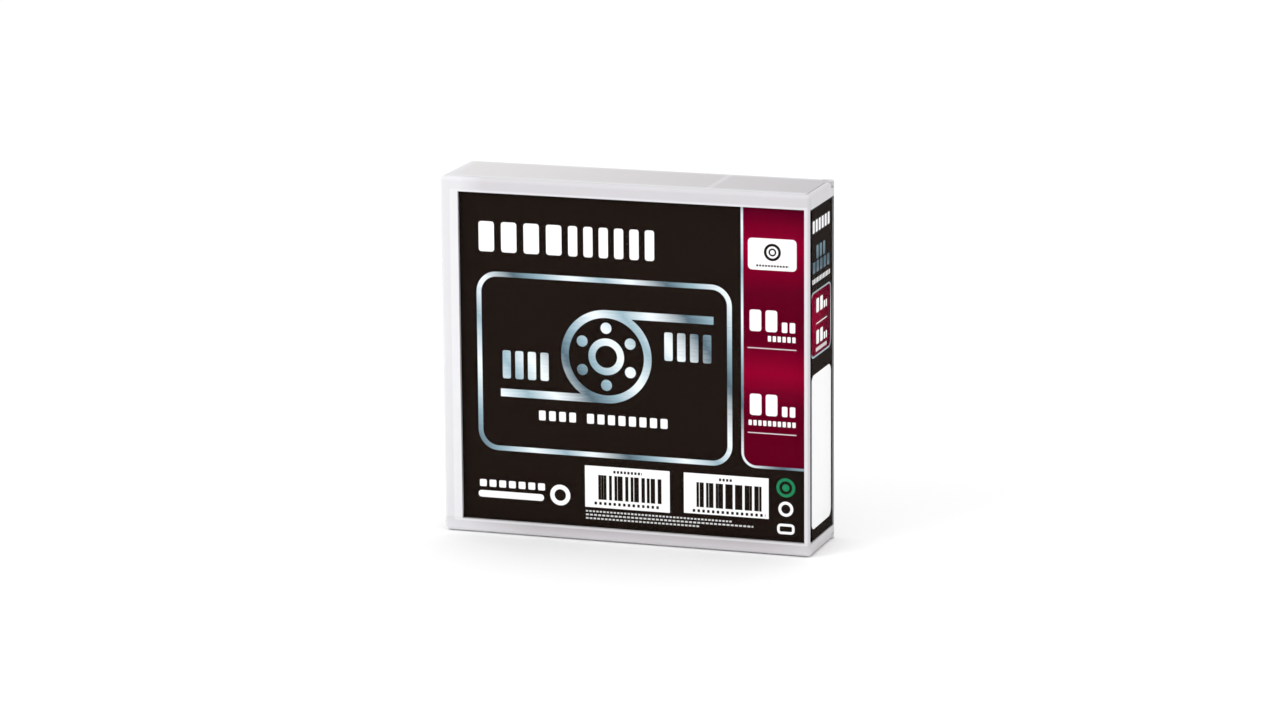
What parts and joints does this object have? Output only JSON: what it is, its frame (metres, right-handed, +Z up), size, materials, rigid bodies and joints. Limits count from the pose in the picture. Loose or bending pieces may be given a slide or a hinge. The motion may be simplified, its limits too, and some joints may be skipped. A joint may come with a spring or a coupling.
{
  "type": "data tape cartridge in library case",
  "caption": "Half-inch single-reel data tape cartridge standing in its closed, hinged, frosted library case with a folded inlay card.",
  "frame": {"origin": "middle of the closed case's footprint, on the surface that it stands on", "axes": "+Z up, +X towards the spine and hinge, -Y towards the lid's face"},
  "size_m": [0.1154, 0.027, 0.109],
  "materials": {
    "case_plastic": "frosted milky polypropylene",
    "card_print": "coated printed card",
    "shell_plastic": "fine moulded texture",
    "reel_plastic": "smooth moulded",
    "clear_plastic": "clear moulded",
    "tape": "wound magnetic tape",
    "steel": "plain",
    "spring_steel": "drawn wire",
    "brake_plastic": "moulded acetal",
    "release_plastic": "moulded acetal",
    "door_plastic": "moulded",
    "slider_plastic": "moulded",
    "board": "lacquered circuit board"
  },
  "bodies": {
    "root": {"case_tray": "case_plastic", "lower_shell": "shell_plastic", "upper_shell": "shell_plastic", "shell_screws": "steel", "brake_spring": "spring_steel", "leader_pin": "steel", "leader_clip": "brake_plastic", "leader_tape": "tape", "pin_spring_lower": "spring_steel", "pin_spring_upper": "spring_steel", "door_spring": "spring_steel", "memory_chip": "board"},
    "lid": {"case_lid": "case_plastic", "inlay_card": "card_print"},
    "reel": {"reel_hub": "reel_plastic", "reel_top_flange": "clear_plastic", "drive_plate": "steel", "tape_pack": "tape"},
    "brake": {"brake_button": "brake_plastic"},
    "release": {"release_button": "release_plastic"},
    "door": {"access_door": "door_plastic"},
    "slider": {"write_protect_slider": "slider_plastic"}
  },
  "joints": [
    {"name": "lid_hinge", "type": "hinge", "parent": "root", "child": "lid", "pos_m": [0.0553, 0.0111, 0], "axis": [0, 0, 1], "range_deg": [0, 135]},
    {"name": "reel_spin", "type": "hinge", "parent": "root", "child": "reel", "pos_m": [-0.0015, 0, 0.0545], "axis": [0, -1, 0], "continuous": true},
    {"name": "brake_lift", "type": "slide", "parent": "root", "child": "brake", "axis": [0, -1, 0], "range_m": [0, 0.0013], "stiffness_N_per_m": 600, "springref_m": -0.003, "deforming": ["brake_spring"]},
    {"name": "release_lift", "type": "slide", "parent": "reel", "child": "release", "axis": [0, -1, 0], "range_m": [0, 0.0013]},
    {"name": "door_slide", "type": "slide", "parent": "root", "child": "door", "axis": [0, 0, 1], "range_m": [0, 0.014], "stiffness_N_per_m": 15, "springref_m": -0.01, "deforming": ["door_spring"]},
    {"name": "write_protect_slide", "type": "slide", "parent": "root", "child": "slider", "axis": [1, 0, 0], "range_m": [0, 0.005]}
  ],
  "couplings": [
    {"joint": "release_lift", "follows": "brake_lift", "ratio": 1}
  ]
}
